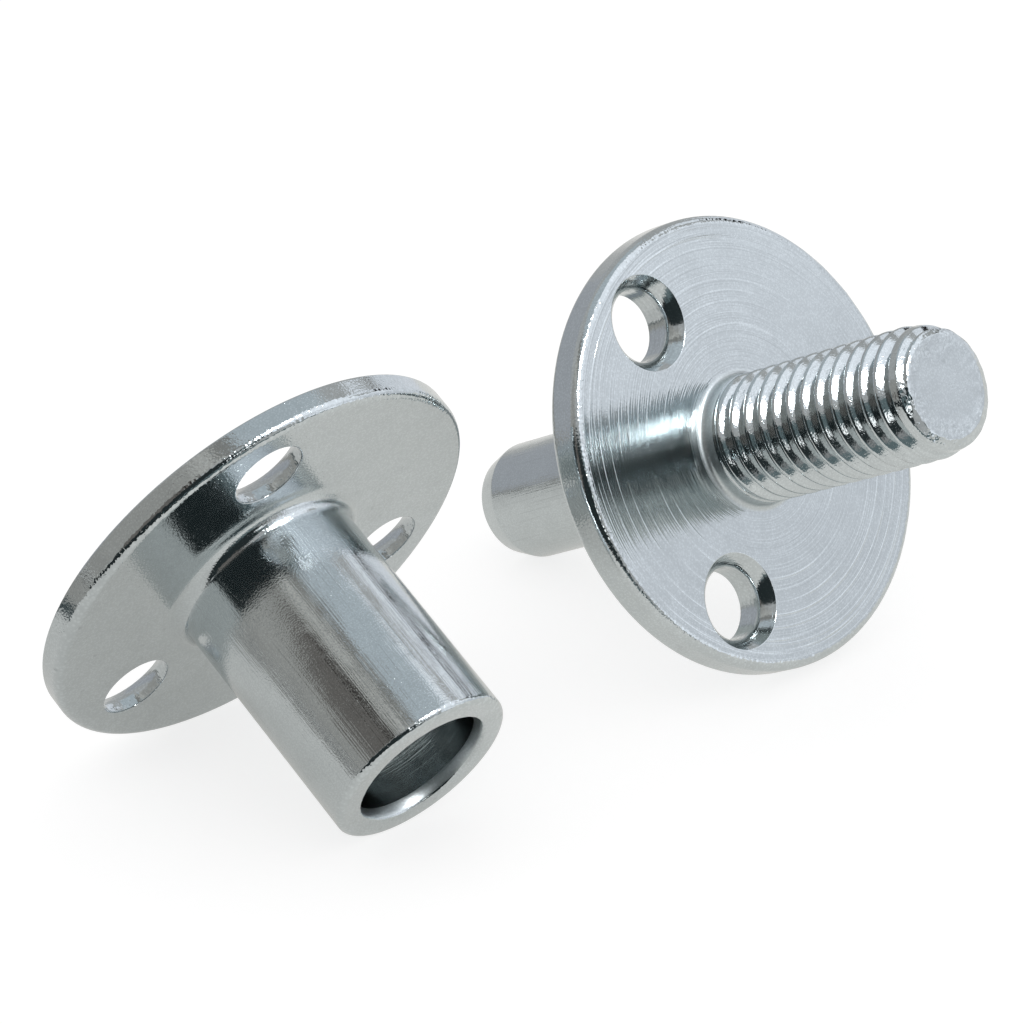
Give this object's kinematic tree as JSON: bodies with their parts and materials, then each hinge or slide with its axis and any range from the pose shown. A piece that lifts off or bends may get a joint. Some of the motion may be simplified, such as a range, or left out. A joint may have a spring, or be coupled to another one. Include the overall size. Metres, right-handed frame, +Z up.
{
  "type": "bed rail fastener",
  "caption": "Zinc-plated bed rail fastener: a round flange with a threaded stud and a plain pin, and a matching flange on a tapped sleeve, both drilled for countersunk wood screws.",
  "frame": {"origin": "on the floor under the centre of the pair's box, with both halves lying on their flange rims", "axes": "+X from the sleeve half towards the stud half, +Y away from the viewer, +Z up"},
  "size_m": [0.0672, 0.0564, 0.0319],
  "materials": {
    "zinc_plated_steel": "bright zinc plate over turned steel"
  },
  "bodies": {
    "root": {"flanged_stud": "zinc_plated_steel", "flanged_sleeve": "zinc_plated_steel"}
  },
  "joints": []
}
